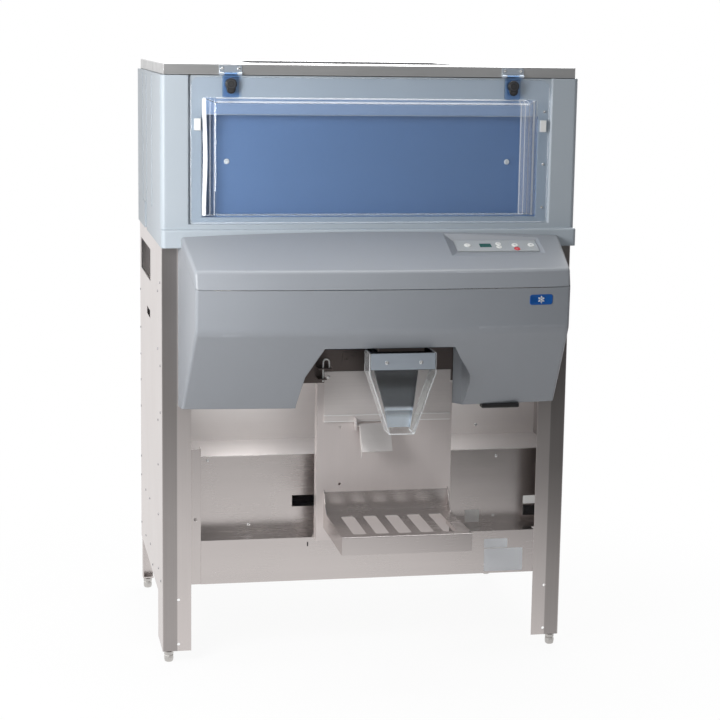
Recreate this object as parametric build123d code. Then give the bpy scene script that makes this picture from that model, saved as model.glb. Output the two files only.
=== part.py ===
from build123d import *
import math
import os

# Ice storage and dispensing bin: an insulated bin with a clear hinged door, a moulded hood over the
# dispensing drive, a chute and a container shelf, on a folded steel cabinet with four legs.
# Millimetres. X runs to the right, Y to the back, Z up. Y is measured here from the middle of the
# bin, and every part is moved by Y_SHIFT when it is written, so that the origin of the written model
# is on the floor under the middle of its bounding box.

# Driving dimensions of the whole machine
LID_WIDTH = 1219.0
LID_DEPTH = 850.0
TOTAL_HEIGHT = 1785.0
LID_HEIGHT = 32.0
SHELL_WIDTH = 1240.0
SHELL_DEPTH = 860.0
FRAME_TOP = 1259.0
CABINET_WIDTH = 1230.0
CABINET_FRONT = -410.0
CABINET_BACK = 418.0
LEG_CLEARANCE = 36.0
PANEL_BOTTOM = 180.0
SHEET = 2.0
DISPENSE_X = 50.0
SHELF_FRONT = -767.0

SHELL_HALF = SHELL_WIDTH / 2
SHELL_FRONT = -SHELL_DEPTH / 2
SHELL_BACK = SHELL_DEPTH / 2
SHELL_TOP = TOTAL_HEIGHT - LID_HEIGHT
SHELL_WALL = 8.0
CABINET_HALF = CABINET_WIDTH / 2
Y_SHIFT = -(SHELF_FRONT + SHELL_BACK) / 2

# Door recess and door
SEAT_Y = SHELL_FRONT + 9
FRONT_WALL_BACK = SEAT_Y + SHELL_WALL
RECESS_HALF = 536.0
RECESS_BOTTOM = 1325.0
LEDGE_TOP = 1311.0
LEDGE_FRONT = -455.0
DOOR_SHEET = 4.0
DOOR_HALF = 533.0
DOOR_BOTTOM = 1328.0
DOOR_TOP = 1748.0
DOOR_FACE = SEAT_Y - DOOR_SHEET
WINDOW_RISE = 30.0
HINGE_Y = -430.5
HINGE_Z = SHELL_TOP + 4.5
HINGE_X = 418.0
HINGE_PIN_R = 2.5
KNOB_Z = 1729.0
STRAP_T = 3.0

# Liner, hopper and dispensing drive
LINER_WALL = 6.0
STORE_HALF = 545.0
STORE_FRONT = -395.0
STORE_BACK = 385.0
SLOPE_TOP = 1300.0
TROUGH_Z = 1050.0
TROUGH_R = 66.0
TROUGH_BACK = 200.0
TROUGH_WALL = 5.0
SLOPE_BOTTOM = TROUGH_Z + 10
OPENING_HALF = 500.0
OPENING_BOTTOM = 1345.0
OPENING_TOP = 1640.0
AUGER_R = 60.0
AGITATOR_Z = 1222.0
AGITATOR_R = 105.0
CHUTE_TOP = TROUGH_Z - TROUGH_R - TROUGH_WALL
DRAIN_Y = 120.0
DRAIN_R = 13.3
DRAIN_LENGTH = 26.0

# Hood, as its centre profile carried round a vertical axis far behind the machine
HOOD_BOW_R = 5042.0
HOOD_NOSE_Y = -690.0
HOOD_AXIS_Y = HOOD_NOSE_Y + HOOD_BOW_R
HOOD_EDGE = (-678.0, 1215.0)
HOOD_SEAM = (-695.0, 1164.0)
HOOD_KINK = (-690.0, 1041.0)
HOOD_HEM = (-494.0, 788.0)
HOOD_SLOPE = 0.4
HOOD_WALL = 4.0
HOOD_CORNER_R = 10.0
HOOD_EDGE_R = 16.0
HOOD_KINK_R = 45.0
HOOD_HALF = 564.0
HOOD_SIDE_DRAFT = 20.0 / 205.0
SEAM_BEND_Y = -668.0
NOTCH_TOP = 990.0

# Control pocket, in the plane of the hood's top face
POCKET_X = 360.5
POCKET_Y = -521.5
POCKET_DEPTH = 10.0
KEYPAD_T = 3.0

# Dispensing station
BEAM_FRONT = -452.0
PLATE_T = 3.0
SHIELD_FRONT = -672.0
SHELF_TOP = 467.0
HOOK_X = -152.0
HOOK_Y = -500.0
HOOK_REST = 909.0
HOOK_WIRE_R = 2.5

# Lower cabinet
APRON_TOP = 375.0
APRON_BOTTOM = 241.0
LEG_FACE = 85.0
APRON_LEFT = -501.0
APRON_RIGHT = CABINET_HALF - LEG_FACE - 0.5
INNER_FRONT = -310.0
DECK_TOP = 611.0
SPLASH_Y = -85.0


def block(x0, x1, y0, y1, z0, z1):
    """A box between two corners."""
    return Pos((x0 + x1) / 2, (y0 + y1) / 2, (z0 + z1) / 2) * Box(x1 - x0, y1 - y0, z1 - z0)


def rod(start, axis, radius, length):
    """A cylinder from a point along an axis."""
    return Solid.make_cylinder(radius, length, Plane(origin=start, z_dir=axis))


def prism(points, direction):
    """A polygon of 3-D points swept straight along a direction."""
    return Solid.extrude(Face(Wire.make_polygon([Vector(*p) for p in points])), Vector(*direction))


def prism_x(points, x0, x1):
    """A (y, z) outline between two x planes."""
    return prism([(x0, y, z) for y, z in points], (x1 - x0, 0, 0))


def prism_y(points, y0, y1):
    """An (x, z) outline between two y planes."""
    return prism([(x, y0, z) for x, z in points], (0, y1 - y0, 0))


def prism_z(points, z0, z1):
    """An (x, y) outline between two z planes."""
    return prism([(x, y, z0) for x, y in points], (0, 0, z1 - z0))


def frustum(lower, upper):
    """A ruled solid between two outlines with the same number of 3-D points."""
    wires = [Wire.make_polygon([Vector(*p) for p in outline]) for outline in (lower, upper)]
    return Solid.make_loft(wires, ruled=True)


def rect_at(z, x0, x1, y0, y1):
    """A level rectangle as four points."""
    return [(x0, y0, z), (x1, y0, z), (x1, y1, z), (x0, y1, z)]


def upright_rect(y, half, z0, z1):
    """A rectangle in an x-z plane as four points, symmetric about x = 0."""
    return [(-half, y, z0), (half, y, z0), (half, y, z1), (-half, y, z1)]


def mirrored(shape):
    """The same piece on the other side of the machine."""
    return mirror(shape, about=Plane.YZ)


def save(shape, node):
    """Moves a piece from the bin's frame to the written frame and writes it."""
    export_step(Pos(0, Y_SHIFT, 0) * shape, f"parts/{node}.step")


def bin_shell():
    """Rotomoulded outer shell with pillars, door recess, ledge band and side ribs."""
    inner = SHELL_HALF - SHELL_WALL
    back = SHELL_BACK - SHELL_WALL
    floor = FRAME_TOP + SHELL_WALL
    rim = 6.0
    body = block(-SHELL_HALF, SHELL_HALF, SHELL_FRONT, SHELL_BACK, FRAME_TOP, SHELL_TOP)
    corners = body.edges().filter_by(Axis.Z)
    body = fillet(corners, 14)
    body = body - block(-inner, inner, FRONT_WALL_BACK, back, floor, SHELL_TOP - rim)
    liner_half = STORE_HALF + LINER_WALL
    liner_front = STORE_FRONT - LINER_WALL
    liner_back = STORE_BACK + LINER_WALL
    body = body - block(-liner_half, liner_half, liner_front, liner_back, floor, SHELL_TOP)
    hole_half = 510.0
    hole_back = 372.0
    body = body - block(-hole_half, hole_half, liner_front - 1, hole_back, FRAME_TOP, floor)

    band = block(-SHELL_HALF, SHELL_HALF, LEDGE_FRONT, SHELL_FRONT + 5, FRAME_TOP, LEDGE_TOP)
    band = fillet(band.edges().filter_by(Axis.Z).group_by(Axis.Y)[0], 12)
    band = fillet(band.edges().group_by(Axis.Z)[-1].group_by(Axis.Y)[0], 5)
    band_core = block(-inner, inner, LEDGE_FRONT + SHELL_WALL, SHELL_FRONT, floor, LEDGE_TOP - SHELL_WALL)
    body = body + (band - band_core)

    shoulder_z = 1700.0
    wide = RECESS_HALF + 3
    half_outline = [(RECESS_HALF, RECESS_BOTTOM), (RECESS_HALF, shoulder_z - 14)]
    half_outline += [(wide, shoulder_z + 14), (wide, SHELL_TOP)]
    outline = half_outline + [(-x, z) for x, z in reversed(half_outline)]
    body = body - prism_y(outline, SHELL_FRONT, SEAT_Y)
    rim_edges = [e for e in body.edges().filter_by(Axis.Z).filter_by_position(Axis.Y, SHELL_FRONT - 0.1,
                 SHELL_FRONT + 0.1) if abs(abs(e.center().X) - RECESS_HALF) < 1 and e.length > 300]
    body = chamfer(rim_edges, 5)
    body = body - block(-OPENING_HALF, OPENING_HALF, SEAT_Y, FRONT_WALL_BACK, OPENING_BOTTOM, OPENING_TOP)

    groove = 3.0
    for side in (-1, 1):
        face = side * SHELL_HALF
        x_span = sorted((face, face - side * groove))
        for y0, y1, z0 in ((-135, -105, 1350), (60, 88, 1350), (200, 228, 1340)):
            body = body - block(x_span[0], x_span[1], y0, y1, z0, SHELL_TOP - 8)
        slot = sorted((face, face - side * SHELL_WALL * 0.75))
        body = body - block(slot[0], slot[1], 70, 150, FRAME_TOP, LEDGE_TOP + 34)
    return body


def store_cavity(grow, ends):
    """The hopper's volume: a box, a four-sided slope and a round trough, grown by a wall thickness."""
    half = STORE_HALF + grow
    front = STORE_FRONT - grow
    back = STORE_BACK + grow
    low_x0 = DISPENSE_X - TROUGH_R - ends
    low_x1 = DISPENSE_X + TROUGH_R + ends
    low_back = TROUGH_BACK + ends
    box = block(-half, half, front, back, SLOPE_TOP, SHELL_TOP)
    slope = frustum(rect_at(SLOPE_BOTTOM, low_x0, low_x1, front, low_back),
                    rect_at(SLOPE_TOP, -half, half, front, back))
    neck = block(low_x0, low_x1, front, low_back, TROUGH_Z, SLOPE_BOTTOM)
    trough = rod((DISPENSE_X, front, TROUGH_Z), (0, 1, 0), TROUGH_R + ends, low_back - front)
    return box + slope + neck + trough


def bin_liner():
    """Blue moulded liner: ice store, sloping floor, auger trough, throat and drain spout in one piece."""
    throat_front = -644.0
    outlet = (-639.0, -562.0)
    outlet_half = 62.0
    wall = TROUGH_WALL
    outer_r = TROUGH_R + wall
    liner = store_cavity(LINER_WALL, wall)
    liner += rod((DISPENSE_X, throat_front, TROUGH_Z), (0, 1, 0), outer_r, STORE_FRONT - throat_front)
    liner += block(DISPENSE_X - outlet_half - wall, DISPENSE_X + outlet_half + wall, throat_front,
                   outlet[1] + wall, CHUTE_TOP, TROUGH_Z)
    sleeve = block(-OPENING_HALF - wall, OPENING_HALF + wall, FRONT_WALL_BACK, STORE_FRONT,
                   OPENING_BOTTOM - wall, OPENING_TOP + wall)
    liner += sleeve
    drain_bottom = CHUTE_TOP - 30
    liner += rod((DISPENSE_X, DRAIN_Y, drain_bottom), (0, 0, 1), DRAIN_R, DRAIN_LENGTH + 2)
    liner += rod((DISPENSE_X, DRAIN_Y, drain_bottom + DRAIN_LENGTH), (0, 0, 1), DRAIN_R + 7, 8)
    liner -= store_cavity(0, 0)
    liner -= rod((DISPENSE_X, throat_front + wall, TROUGH_Z), (0, 1, 0), TROUGH_R,
                 STORE_FRONT - throat_front)
    liner -= block(DISPENSE_X - outlet_half, DISPENSE_X + outlet_half, outlet[0], outlet[1],
                   CHUTE_TOP, TROUGH_Z)
    liner -= block(-OPENING_HALF, OPENING_HALF, FRONT_WALL_BACK, STORE_FRONT, OPENING_BOTTOM, OPENING_TOP)
    liner -= rod((DISPENSE_X, DRAIN_Y, drain_bottom), (0, 0, 1), 10, 60)
    shaft_hole = 12.3
    liner -= rod((DISPENSE_X, TROUGH_BACK - 2, TROUGH_Z), (0, 1, 0), shaft_hole, wall + 4)
    liner -= rod((DISPENSE_X, STORE_FRONT - LINER_WALL, AGITATOR_Z), (0, 1, 0), shaft_hole, LINER_WALL + 1)
    return liner


def bin_insulation():
    """Foam between the shell and the liner, round the two sides and the back."""
    outer = SHELL_HALF - SHELL_WALL
    inner = STORE_HALF + LINER_WALL
    back = SHELL_BACK - SHELL_WALL
    z0 = FRAME_TOP + SHELL_WALL
    z1 = SHELL_TOP - 6
    foam = block(-outer, outer, FRONT_WALL_BACK, back, z0, z1)
    return foam - block(-inner, inner, FRONT_WALL_BACK, STORE_BACK + LINER_WALL, z0, z1)


def top_lid():
    """Folded stainless lid pan with a flanged opening that the ice falls through."""
    half = LID_WIDTH / 2
    deep = LID_DEPTH / 2
    drop = (-330.0, 330.0, -200.0, 250.0)
    pan = block(-half, half, -deep, deep, SHELL_TOP, TOTAL_HEIGHT)
    pan = fillet(pan.edges().group_by(Axis.Z)[-1], 1.5)
    hollow = block(-half + SHEET, half - SHEET, -deep + SHEET, deep - SHEET, SHELL_TOP, TOTAL_HEIGHT - SHEET)
    collar = block(drop[0] - SHEET, drop[1] + SHEET, drop[2] - SHEET, drop[3] + SHEET, SHELL_TOP,
                   TOTAL_HEIGHT)
    hole = block(drop[0], drop[1], drop[2], drop[3], SHELL_TOP, TOTAL_HEIGHT)
    return (pan - hollow) + collar - hole


def hinge_bracket(x):
    """Steel angle on the lid's front edge with a curled foot that holds the hinge pin."""
    half = 32.5
    face = -LID_DEPTH / 2
    t = 2.5
    plate = block(x - half, x + half, face - t, face, 1762, 1781)
    knuckle = 12.0
    for side in (-1, 1):
        x0 = x + side * (half - knuckle / 2) - knuckle / 2
        plate += rod((x0, HINGE_Y, HINGE_Z), (1, 0, 0), 4.2, knuckle)
        plate += block(x0, x0 + knuckle, HINGE_Y + 1.2, face, HINGE_Z, 1763)
    plate += rod((x - half, HINGE_Y, HINGE_Z), (1, 0, 0), HINGE_PIN_R, 2 * half)
    for side in (-1, 1):
        plate -= rod((x + side * 24, face - t, 1773), (0, 1, 0), 2.1, t)
    return plate


def bracket_screws():
    """Two pan-head screws for each hinge bracket."""
    face = -LID_DEPTH / 2
    screws = []
    for x in (-HINGE_X, HINGE_X):
        for side in (-1, 1):
            at = x + side * 24
            head = rod((at, face - 2.5 - 1.8, 1773), (0, 1, 0), 4.2, 1.8)
            screws.append(head + rod((at, face - 2.5, 1773), (0, 1, 0), 1.9, 2.5))
    return Compound(screws)


def door_panel():
    """Clear thermoformed door: a flat flange with a raised window box."""
    base_half = 497.0
    face_half = 462.0
    base_z = (1350.0, 1690.0)
    face_z = (1353.0, 1676.0)
    front = DOOR_FACE - WINDOW_RISE
    t = DOOR_SHEET
    door = block(-DOOR_HALF, DOOR_HALF, DOOR_FACE, SEAT_Y, DOOR_BOTTOM, DOOR_TOP)
    corners = door.edges().filter_by(Axis.Y).group_by(Axis.Z)
    door = fillet(corners[-1], 28)
    door = fillet(door.edges().filter_by(Axis.Y).group_by(Axis.Z)[0], 16)
    door += frustum(upright_rect(DOOR_FACE, base_half, *base_z), upright_rect(front, face_half, *face_z))
    door -= block(-base_half + t, base_half - t, DOOR_FACE, SEAT_Y, base_z[0] + t, base_z[1] - t)
    door -= frustum(upright_rect(DOOR_FACE, base_half - t, base_z[0] + t, base_z[1] - t),
                    upright_rect(front + t, face_half - t, face_z[0] + t, face_z[1] - t))
    for x in (-HINGE_X, HINGE_X):
        door -= rod((x, DOOR_FACE, KNOB_Z), (0, 1, 0), 4.2, t)
    for z in (1372, 1500, 1655):
        door -= rod((518, DOOR_FACE, z), (0, 1, 0), 2.1, t)
    return door


def door_strap(x):
    """Tinted strap that hangs on the hinge pin and is clamped to the door by a knob."""
    half = 24.0
    back = DOOR_FACE
    front = back - STRAP_T
    curl = 4.2
    knuckle_half = 18.0
    strap = block(x - half, x + half, front, back, 1690, HINGE_Z - 5.5)
    strap = fillet(strap.edges().filter_by(Axis.Y).group_by(Axis.Z)[0], 6)
    strap += block(x - knuckle_half, x + knuckle_half, front, back - 1, HINGE_Z - 6.5, HINGE_Z)
    strap += rod((x - knuckle_half, HINGE_Y, HINGE_Z), (1, 0, 0), curl, 2 * knuckle_half)
    strap -= rod((x - knuckle_half, HINGE_Y, HINGE_Z), (1, 0, 0), HINGE_PIN_R + 0.06, 2 * knuckle_half)
    return strap - rod((x, front, KNOB_Z), (0, 1, 0), 4.2, STRAP_T)


def door_knob(x):
    """Black thumb knob with a round head and one lobe, bored for its stud."""
    front = DOOR_FACE - STRAP_T
    head = rod((x, front - 16, KNOB_Z), (0, 1, 0), 16.5, 15.7)
    head = fillet(head.edges().group_by(Axis.Y)[0], 3)
    lobe = rod((x, front - 16, KNOB_Z - 15), (0, 1, 0), 13, 6.5)
    lobe = fillet(lobe.edges().group_by(Axis.Y)[0], 3)
    return head + lobe - rod((x, front - 10, KNOB_Z), (0, 1, 0), 4.2, 10)


def door_studs():
    """Two studs through the door and its straps, which the knobs turn on."""
    knob_end = DOOR_FACE - STRAP_T - 9.5
    studs = [rod((x, knob_end, KNOB_Z), (0, 1, 0), 4.12, SEAT_Y - knob_end) for x in (-HINGE_X, HINGE_X)]
    return Compound(studs)


def door_screws():
    """Three small screws along the right flange of the door."""
    screws = []
    for z in (1372, 1500, 1655):
        head = rod((518, DOOR_FACE - 2, z), (0, 1, 0), 4, 2)
        screws.append(head + rod((518, DOOR_FACE, z), (0, 1, 0), 1.95, DOOR_SHEET))
    return Compound(screws)


def door_bumpers():
    """White blocks on the door's flanges that close against the recess."""
    bumpers = []
    for x in (-514, 514):
        bumpers.append(block(x - 9, x + 9, DOOR_FACE - 8, DOOR_FACE, 1596, 1630))
    return Compound(bumpers)


def ice_shield():
    """Blue-tinted sheet that holds the ice back from the door."""
    shield = block(-520, 520, -366, -363, 1338, 1700)
    for x in (-422, 422):
        shield -= rod((x, -366, 1503), (0, 1, 0), 4.1, 3)
    return shield


def shield_rail():
    """Steel bar across the store that the ice shield is screwed to."""
    rail = block(-STORE_HALF, STORE_HALF, -363, -333, 1485, 1521)
    rail -= block(-STORE_HALF, STORE_HALF, -361, -333, 1487, 1519)
    for x in (-422, 422):
        rail -= rod((x, -363, 1503), (0, 1, 0), 4.1, 2)
    return rail


def shield_screws():
    """Two white screws through the ice shield into its rail."""
    screws = []
    for x in (-422, 422):
        head = rod((x, -370, 1503), (0, 1, 0), 8, 4)
        screws.append(head + rod((x, -366, 1503), (0, 1, 0), 4, 11))
    return Compound(screws)


def side_panel_left():
    """Folded side sheet with the front leg face, doubler, top flange, window and hand slot."""
    out = -CABINET_HALF
    front = CABINET_FRONT
    leg_return = 38.0
    panel = block(out, out + SHEET, front, CABINET_BACK, PANEL_BOTTOM, FRAME_TOP)
    panel += block(out, out + LEG_FACE, front, front + SHEET, LEG_CLEARANCE, FRAME_TOP)
    panel += block(out, out + SHEET, front, front + leg_return, LEG_CLEARANCE, PANEL_BOTTOM)
    panel += block(out, out + leg_return, front, front + leg_return, LEG_CLEARANCE, LEG_CLEARANCE + 4)
    panel += block(out - 1, out, front, -255, LEG_CLEARANCE, FRAME_TOP)
    panel += block(out, out + leg_return, front, CABINET_BACK, FRAME_TOP - SHEET, FRAME_TOP)
    window = block(out, out + SHEET, 0, 370, 1105, 1205)
    hand_slot = block(out, out + SHEET, 20, 140, 985, 1010)
    panel = panel - window - hand_slot
    for z in (57, 195):
        panel -= rod((-568, front, z), (0, 1, 0), 4.5, SHEET)
    return panel


def rear_leg_left():
    """Steel angle at the back corner with a plate for the foot."""
    x0 = -CABINET_HALF + SHEET
    back = CABINET_BACK
    size = 36.0
    t = 3.0
    top = FRAME_TOP - SHEET
    leg = block(x0, x0 + t, back - size, back, LEG_CLEARANCE, top)
    leg += block(x0, x0 + size, back - t, back, LEG_CLEARANCE, top)
    leg += block(x0, x0 + size, back - size, back, LEG_CLEARANCE, LEG_CLEARANCE + 4)
    return leg


def panel_rivets():
    """Rivet heads on both side panels."""
    seam_column = [(-275, z) for z in (1112, 938, 720, 583, 428, 258)]
    front_column = [(-355, z) for z in (1147, 899, 758, 240)]
    back_column = [(400, z) for z in (1028, 900, 810, 722, 632, 460, 395, 230)]
    floor_row = [(220, 385), (60, 395), (220, 230), (37, 250), (-49, 206)]
    doubler = 1.0
    rivets = []
    for side in (-1, 1):
        for y, z in seam_column + front_column + back_column + floor_row:
            face = CABINET_HALF + (doubler if y < -255 else 0)
            dome = Pos(side * face, y, z) * Rot(0, side * 90, 0) * Cone(4, 2.4, 1.6, align=(
                Align.CENTER, Align.CENTER, Align.MIN))
            rivets.append(dome)
    return Compound(rivets)


def post():
    """Short upright channel behind the left leg face, beside the lower cabinet."""
    x0 = -533.0
    x1 = APRON_LEFT
    y0 = CABINET_FRONT + SHEET
    y1 = y0 + 36
    z1 = 655.0
    post = block(x0, x1, y0, y1, APRON_BOTTOM, z1)
    post -= block(x0 + SHEET, x1 - SHEET, y0 + SHEET, y1, APRON_BOTTOM, z1)
    return post - rod(((x0 + x1) / 2, y0, 441), (0, 1, 0), 5, SHEET)


def apron():
    """Folded front beam under the lower cabinet, from the left post to the right leg."""
    y0 = CABINET_FRONT
    y1 = y0 + 38
    rail = block(APRON_LEFT, APRON_RIGHT, y0, y1, APRON_BOTTOM, APRON_TOP)
    rail -= block(APRON_LEFT, APRON_RIGHT, y0 + SHEET, y1, APRON_BOTTOM + SHEET, APRON_TOP - SHEET)
    return rail - block(-180, -176, y0, y0 + SHEET, 347, 361)


def base_pan():
    """Level floor of the lower cabinet, with a hole under the drain spout for its hose."""
    half = CABINET_HALF - SHEET
    hose_hole_r = 40.0
    pan = block(-half, half, CABINET_FRONT + 38, CABINET_BACK - 36, APRON_TOP - SHEET, APRON_TOP)
    return pan - rod((DISPENSE_X, DRAIN_Y, APRON_TOP - SHEET), (0, 0, 1), hose_hole_r, SHEET)


def lower_front_panel():
    """Set-back front panel of the lower cabinet, with a hand hole and the switch cut-out."""
    half = CABINET_HALF - SHEET
    panel = block(-half, half, INNER_FRONT, INNER_FRONT + SHEET, APRON_TOP, DECK_TOP - SHEET)
    panel -= block(-211, -135, INNER_FRONT, INNER_FRONT + SHEET, 447, 482)
    return panel - block(525, 561, INNER_FRONT, INNER_FRONT + SHEET, 400, 422)


def deck():
    """Level top of the lower cabinet."""
    half = CABINET_HALF - SHEET
    top = block(-half, half, INNER_FRONT, SPLASH_Y + SHEET, DECK_TOP - SHEET, DECK_TOP)
    return top


def splash_panel():
    """Upright panel behind the container space."""
    half = CABINET_HALF - SHEET
    top = 955.0
    panel = block(-half, half, SPLASH_Y, SPLASH_Y + SHEET, DECK_TOP, top)
    return panel + block(-half, half, SPLASH_Y + SHEET, SPLASH_Y + 30, top - SHEET, top)


def rear_panel():
    """Plain back sheet of the lower cabinet between the rear legs."""
    half = CABINET_HALF - SHEET - 36
    y1 = CABINET_BACK - 3
    wide = half + 30
    return block(-wide, wide, y1 - SHEET, y1, PANEL_BOTTOM, FRAME_TOP - SHEET)


def levelling_feet():
    """Four bullet feet under the legs."""
    feet = []
    for x in (-596, 596):
        for y in (-391, 399):
            foot = Pos(x, y, 0) * Cone(11, 14, 10, align=(Align.CENTER, Align.CENTER, Align.MIN))
            foot += rod((x, y, 10), (0, 0, 1), 14, LEG_CLEARANCE - 10)
            feet.append(foot)
    return Compound(feet)


def hood_profile(inset):
    """Centre outline of the hood in (y, z), moved inwards by a wall thickness."""
    back = -380.0
    low = HOOD_HEM[1] - 40
    run_y = (HOOD_HEM[0] - HOOD_KINK[0]) / (HOOD_HEM[1] - HOOD_KINK[1])
    low_y = HOOD_HEM[0] + run_y * (low - HOOD_HEM[1])
    top_z = HOOD_EDGE[1] + (back - HOOD_EDGE[0]) * HOOD_SLOPE
    shift = inset * 1.06
    return [(back, top_z - shift), (HOOD_EDGE[0] + inset, HOOD_EDGE[1] - inset * 0.8),
            (HOOD_SEAM[0] + shift, HOOD_SEAM[1]), (HOOD_KINK[0] + shift, HOOD_KINK[1]),
            (low_y + inset * 1.27, low), (back, low)]


def hood_solid(inset):
    """The hood's outline turned about its far axis and cut by the tapered sides."""
    angle = 15.0
    outline = [(0, y, z) for y, z in hood_profile(inset)]
    face = Face(Wire.make_polygon([Vector(*p) for p in outline]))
    for corner, radius in ((HOOD_EDGE, HOOD_EDGE_R - inset), (HOOD_KINK, HOOD_KINK_R - inset)):
        near = [v for v in face.vertices() if math.dist((v.Y, v.Z), corner) < 3 * HOOD_WALL]
        face = face.fillet_2d(radius, near)
    axis = Axis((0, HOOD_AXIS_Y, 0), (0, 0, 1))
    body = revolve(face.rotate(axis, -angle / 2), axis, angle)
    front = -720.0
    back = -380.0
    wide_front = HOOD_HALF - (LEDGE_FRONT - front) * HOOD_SIDE_DRAFT - inset
    wide_back = HOOD_HALF + (back - LEDGE_FRONT) * HOOD_SIDE_DRAFT - inset
    sides = [(-wide_front, front), (wide_front, front), (wide_back, back), (-wide_back, back)]
    body = body & prism_z(sides, 700, 1400)
    corner_edges = [e for e in body.edges() if abs(e.center().X) > 500 and e.center().Y < -450
                    and e.center().Z > HOOD_HEM[1]]
    return fillet(corner_edges, HOOD_CORNER_R - inset)


def hood_shell():
    """The hood's outer solid, and the space its covers may fill in front of the cabinet and bin."""
    outer = hood_solid(0)
    gap = 0.5
    keep = block(-600, 600, -720, CABINET_FRONT - gap, HOOD_HEM[1], FRAME_TOP - gap)
    keep += block(-600, 600, -720, LEDGE_FRONT - gap, HOOD_HEM[1], 1330)
    return outer, keep


def pocket_plane():
    """Plane of the hood's top face at the middle of the control pocket."""
    bow = POCKET_X ** 2 / (2 * HOOD_BOW_R)
    z = HOOD_EDGE[1] + (POCKET_Y - bow - HOOD_EDGE[0]) * HOOD_SLOPE
    tilt = math.atan(HOOD_SLOPE)
    return Plane(origin=(POCKET_X, POCKET_Y, z), x_dir=(1, 0, 0), z_dir=(0, -math.sin(tilt), math.cos(tilt)))


def pocket_frustum(grow, top, bottom):
    """The control pocket's tapered volume between two heights over the top face."""
    rim = (-147.0, 142.0, -66.0, 57.0)
    floor = (-127.0, 123.0, -30.0, 38.0)
    rows = []
    for height in (bottom, top):
        share = (height + POCKET_DEPTH) / POCKET_DEPTH
        x0, x1, y0, y1 = [f + (r - f) * share for f, r in zip(floor, rim)]
        corners = [(x0 - grow, y0 - grow), (x1 + grow, y0 - grow), (x1 + grow, y1 + grow),
                   (x0 - grow, y1 + grow)]
        rows.append([(x, y, height) for x, y in corners])
    return pocket_plane().location * frustum(rows[0], rows[1])


def seam_split(above):
    """Half space over or under the covers' seam: level across the front, rising along the sides."""
    gap = 0.75
    slope = (FRAME_TOP - 1 - HOOD_SEAM[1]) / (LEDGE_FRONT - SEAM_BEND_Y)
    step = gap if above else -gap
    level = HOOD_SEAM[1] + step
    near = level + slope * (-380.0 - SEAM_BEND_Y)
    end = 1500.0 if above else 600.0
    outline = [(-760.0, level), (SEAM_BEND_Y, level), (-380.0, near), (-380.0, end), (-760.0, end)]
    return prism_x(outline, -650, 650)


def top_cover():
    """Upper moulding of the hood with the control pocket."""
    outer, keep = hood_shell()
    cover = (outer - hood_solid(HOOD_WALL)) & keep
    tub = pocket_frustum(HOOD_WALL, 2, -POCKET_DEPTH - HOOD_WALL) & outer
    cover = cover + tub - pocket_frustum(0, 6, -POCKET_DEPTH)
    return cover & seam_split(True)


NOTCH_RIGHT = [(243, -430), (247, -452), (270, -480), (279, -510), (279, -545), (274, -567), (257, -588),
               (231, -617), (211, -643), (160, -720)]
NOTCH_LEFT = [(-120, -720), (-165, -660), (-217, -572), (-231, -498), (-235, -430)]


def front_cover():
    """Lower moulding of the hood with the notch over the container space."""
    outer, keep = hood_shell()
    inner = hood_solid(HOOD_WALL)
    cover = (outer - inner) & keep
    notch = prism_z(NOTCH_RIGHT + NOTCH_LEFT, HOOD_HEM[1] - 60, NOTCH_TOP)
    t = HOOD_WALL
    wide_right = [(x + t, y) for x, y in NOTCH_RIGHT]
    wide_left = [(x - t, y) for x, y in NOTCH_LEFT]
    scoop = prism_z(wide_right + wide_left, HOOD_HEM[1] - 60, NOTCH_TOP + t)
    lining = (scoop - notch) & outer & block(-300, 300, -720, CABINET_FRONT - 45, HOOD_HEM[1], NOTCH_TOP + t)
    cover = cover - notch + lining
    cover = cover - block(-25, 125, -645, -400, NOTCH_TOP - 1, NOTCH_TOP + t + 1)
    return cover & seam_split(False)


def cover_grip():
    """Black pull grip under the right end of the front cover."""
    grip = block(334, 449, -486, -459, HOOD_HEM[1] - 13, HOOD_HEM[1])
    return fillet(grip.edges().group_by(Axis.Z)[0], 4)


KEYS = {"power": (-90, 7, 10.0), "up": (5, 15, 8.5), "down": (4, -4, 8.5), "start": (54, 7, 10.0),
        "stop": (56, -16, 9.0), "light": (103, 7, 10.0)}
DISPLAY = (-53.0, -18.0, -5.0, 17.0)


def keypad_plate():
    """Panel on the pocket floor with a hole for each key and for the display."""
    base = -POCKET_DEPTH
    plate = block(-125, 121, -28, 36, base, base + KEYPAD_T)
    for x, y, r in KEYS.values():
        plate -= rod((x, y, base), (0, 0, 1), r + 0.3, KEYPAD_T)
    plate -= block(*DISPLAY, base, base + KEYPAD_T)
    return pocket_plane().location * plate


def display_window():
    """Green display window in the keypad plate."""
    return pocket_plane().location * block(*DISPLAY, -POCKET_DEPTH, -POCKET_DEPTH + KEYPAD_T + 0.2)


def key_cap(name):
    """One round key, standing a little proud of the keypad plate."""
    x, y, r = KEYS[name]
    cap = rod((x, y, -POCKET_DEPTH + 1.0), (0, 0, 1), r, 3.4)
    cap = fillet(cap.edges().group_by(Axis.Z)[-1], 0.8)
    return pocket_plane().location * cap


def control_board():
    """Circuit board on four spacers under the pocket."""
    under = -POCKET_DEPTH - HOOD_WALL
    board = block(-110, 110, -30, 30, under - 8, under - 6)
    for x in (-100, 100):
        for y in (-22, 22):
            board += rod((x, y, under - 6), (0, 0, 1), 4, 6)
    return pocket_plane().location * board


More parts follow.
